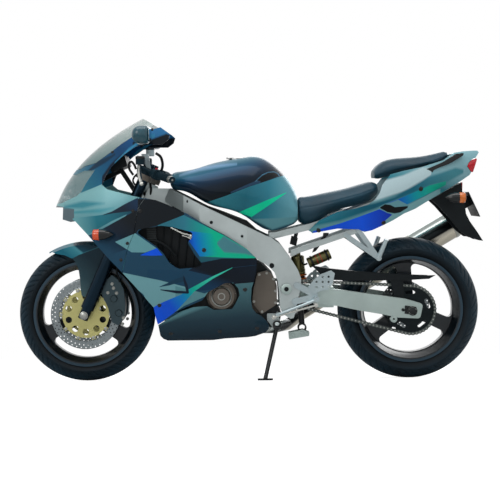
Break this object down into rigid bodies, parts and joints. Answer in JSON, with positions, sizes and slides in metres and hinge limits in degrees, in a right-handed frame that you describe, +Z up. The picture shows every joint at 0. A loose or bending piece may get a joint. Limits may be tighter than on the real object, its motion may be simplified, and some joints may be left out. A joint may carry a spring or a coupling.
{
  "type": "sport motorcycle",
  "caption": "Faired sport motorcycle parked on its side stand, with turning wheels, steering, a folding stand and a hinged fuel cap.",
  "frame": {"origin": "centre of the parked bike's box, on the ground", "axes": "+X to the tail, +Y to the rider's right, +Z up; the bike leans to -Y on its stand"},
  "size_m": [2.0405, 0.7318, 1.1499],
  "materials": {
    "front_tyre": "road tyre, moulded",
    "front_rim": "dark blue-black paint",
    "front_brake_discs": "drilled, ground",
    "front_disc_carriers": "pale gold anodised",
    "rear_tyre": "road tyre, moulded",
    "rear_rim": "dark blue-black paint",
    "rear_brake_disc": "drilled, ground",
    "rear_sprocket": "machined",
    "chain": "oiled",
    "fork_legs": "polished lower legs, chromed tubes",
    "fork_yokes": "machined",
    "handlebars": "black, with rubber grips",
    "bar_controls": "switch housings, levers and cups",
    "front_mudguard": "dark blue-black",
    "front_calipers": "dark cast, painted",
    "front_axle": "machined",
    "main_frame": "silver, satin",
    "subframe": "black",
    "engine": "cast cases, dull grey",
    "engine_covers": "grey-brown",
    "radiator": "black core and tanks",
    "exhaust": "stainless",
    "fuel_tank": "metallic",
    "fuel_cap": "machined",
    "rider_seat": "grained vinyl",
    "pillion_seat": "grained vinyl",
    "tail_cowl": "metallic",
    "tail_lamp": "red lens",
    "rear_mudguard": "black, with a blank plate",
    "turn_lamps": "orange lenses on black stalks",
    "nose_cowl": "metallic",
    "windscreen": "smoked, clear",
    "headlamp": "clear lens",
    "lamp_body": "reflectors in a pale housing",
    "side_fairings": "metallic",
    "lower_fairing": "metallic",
    "mirrors": "black housings",
    "dials": "black instrument housing",
    "swingarm": "silver, satin",
    "rear_shock": "orange spring",
    "chain_guard": "black",
    "rear_caliper": "dark cast",
    "rear_axle": "machined",
    "foot_rests": "cast and drilled plates",
    "side_stand": "black"
  },
  "bodies": {
    "chassis": {"chain": "chain", "main_frame": "main_frame", "subframe": "subframe", "engine": "engine", "engine_covers": "engine_covers", "radiator": "radiator", "exhaust": "exhaust", "fuel_tank": "fuel_tank", "rider_seat": "rider_seat", "pillion_seat": "pillion_seat", "tail_cowl": "tail_cowl", "tail_lamp": "tail_lamp", "rear_mudguard": "rear_mudguard", "turn_lamps": "turn_lamps", "nose_cowl": "nose_cowl", "windscreen": "windscreen", "headlamp": "headlamp", "lamp_body": "lamp_body", "side_fairings": "side_fairings", "lower_fairing": "lower_fairing", "mirrors": "mirrors", "dials": "dials", "swingarm": "swingarm", "rear_shock": "rear_shock", "chain_guard": "chain_guard", "rear_caliper": "rear_caliper", "rear_axle": "rear_axle", "foot_rests": "foot_rests"},
    "steering": {"fork_legs": "fork_legs", "fork_yokes": "fork_yokes", "handlebars": "handlebars", "bar_controls": "bar_controls", "front_mudguard": "front_mudguard", "front_calipers": "front_calipers", "front_axle": "front_axle"},
    "front_wheel": {"front_tyre": "front_tyre", "front_rim": "front_rim", "front_brake_discs": "front_brake_discs", "front_disc_carriers": "front_disc_carriers"},
    "rear_wheel": {"rear_tyre": "rear_tyre", "rear_rim": "rear_rim", "rear_brake_disc": "rear_brake_disc", "rear_sprocket": "rear_sprocket"},
    "side_stand": {"side_stand": "side_stand"},
    "fuel_cap": {"fuel_cap": "fuel_cap"}
  },
  "joints": [
    {"name": "steering", "type": "hinge", "parent": "chassis", "child": "steering", "pos_m": [-0.46604, 0.03053, 0.78119], "axis": [0.4067, -0.1271, 0.9047], "range_deg": [-27, 27]},
    {"name": "front_wheel", "type": "hinge", "parent": "steering", "child": "front_wheel", "pos_m": [-0.72026, 0.09857, 0.29708], "axis": [0, -0.9903, -0.1392], "continuous": true},
    {"name": "rear_wheel", "type": "hinge", "parent": "chassis", "child": "rear_wheel", "pos_m": [0.69476, 0.09704, 0.30797], "axis": [0, -0.9903, -0.1392], "continuous": true},
    {"name": "side_stand", "type": "hinge", "parent": "chassis", "child": "side_stand", "pos_m": [0.11426, -0.01727, 0.23031], "axis": [0, -0.8851, 0.4655], "range_deg": [0, 100]},
    {"name": "fuel_cap", "type": "hinge", "parent": "chassis", "child": "fuel_cap", "pos_m": [-0.09674, 0.00435, 0.96749], "axis": [0, -0.9903, -0.1392], "range_deg": [0, 90]}
  ]
}
